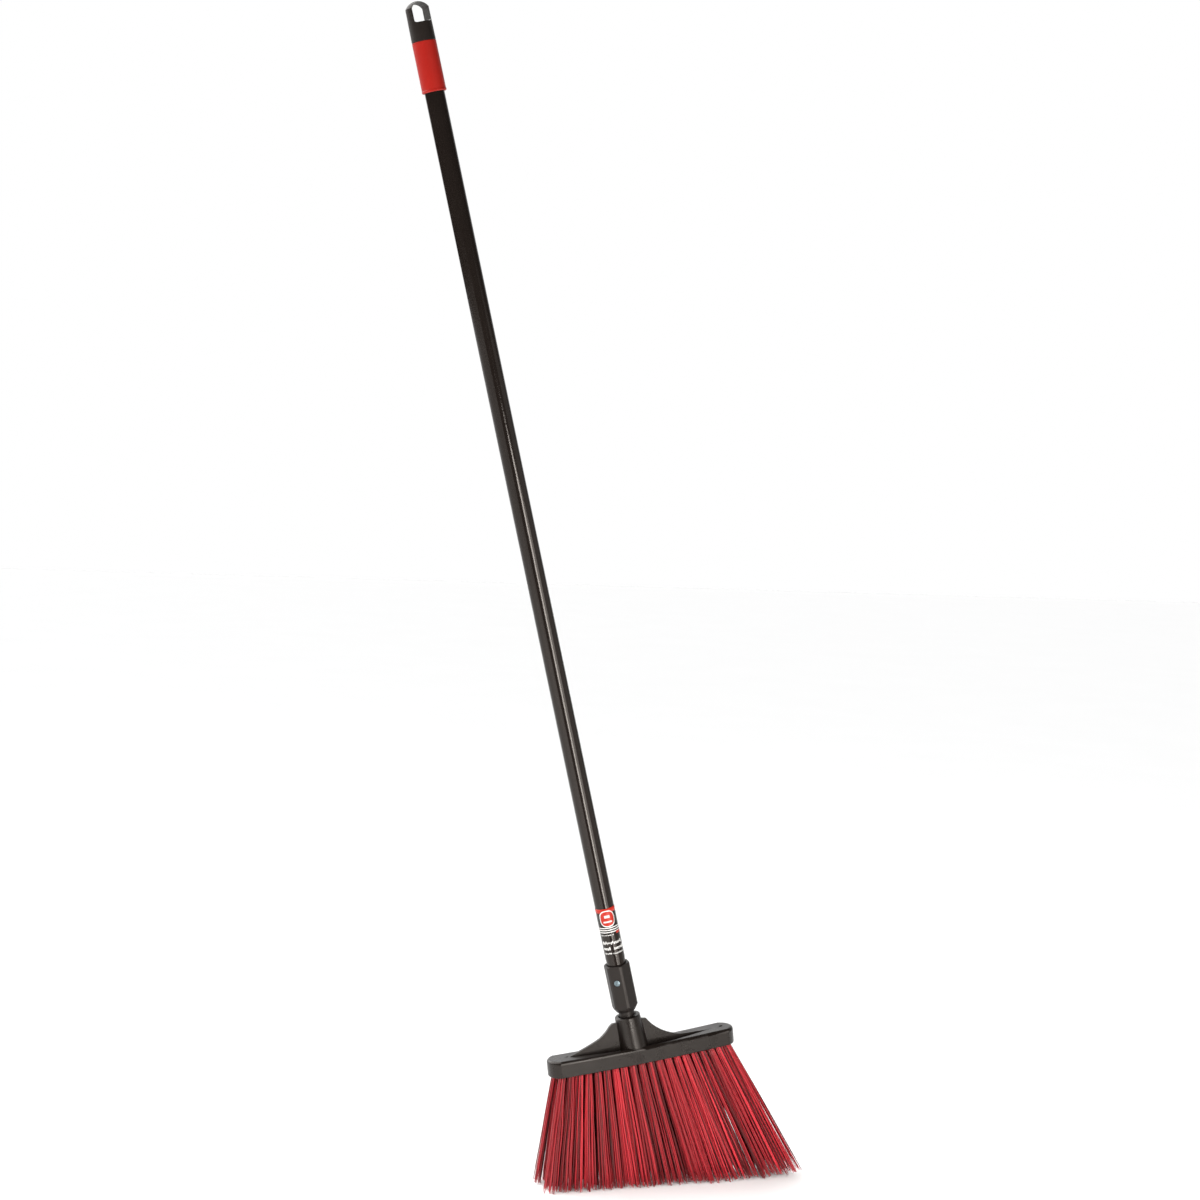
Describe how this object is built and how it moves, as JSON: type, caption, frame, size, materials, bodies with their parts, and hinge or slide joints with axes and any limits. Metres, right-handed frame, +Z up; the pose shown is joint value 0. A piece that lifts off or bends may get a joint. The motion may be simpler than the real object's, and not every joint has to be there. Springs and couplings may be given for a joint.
{
  "type": "angle broom",
  "caption": "Angle broom with a slanted plastic head, fanned bristle tufts trimmed flat and a tube handle that screws into the head's socket and hangs from a slotted cap.",
  "frame": {"origin": "middle of the flat face that the trimmed bristle ends make, on the floor, with the broom standing on them", "axes": "+Z up from the floor, +X along the head away from the handle's lean, -Y the front; the handle leans 15 degrees from +Z towards -X"},
  "size_m": [0.5856, 0.0546, 1.4301],
  "materials": {
    "head_plastic": "moulded satin black plastic with a fine grain",
    "bristle": null,
    "ferrule_plastic": "moulded satin black plastic",
    "zinc_screw": "zinc-plated steel",
    "tube_coat": "gloss black powder coat on thin steel tube",
    "label_film": "printed film with plain bars and a plain badge",
    "sleeve_plastic": "red moulded plastic",
    "cap_plastic": "moulded satin black plastic"
  },
  "bodies": {
    "head": {"broom_head": "head_plastic", "bristle_row_front": "bristle", "bristle_row_middle": "bristle", "bristle_row_back": "bristle"},
    "sleeve": {"grip_sleeve": "sleeve_plastic"},
    "handle": {"handle_tube": "tube_coat", "handle_label": "label_film", "ferrule": "ferrule_plastic", "ferrule_screw": "zinc_screw", "hang_cap": "cap_plastic"}
  },
  "joints": [
    {"name": "handle_lift", "type": "slide", "parent": "head", "child": "sleeve", "axis": [-0.2588, 0, 0.9659], "range_m": [0, 0.0356]},
    {"name": "handle_turn", "type": "hinge", "parent": "sleeve", "child": "handle", "pos_m": [-0.07076, 0, 0.21387], "axis": [-0.2588, 0, 0.9659], "range_deg": [0, 2520]}
  ],
  "couplings": [
    {"joint": "handle_lift", "follows": "handle_turn", "m_per_rad": 0.00080851}
  ]
}
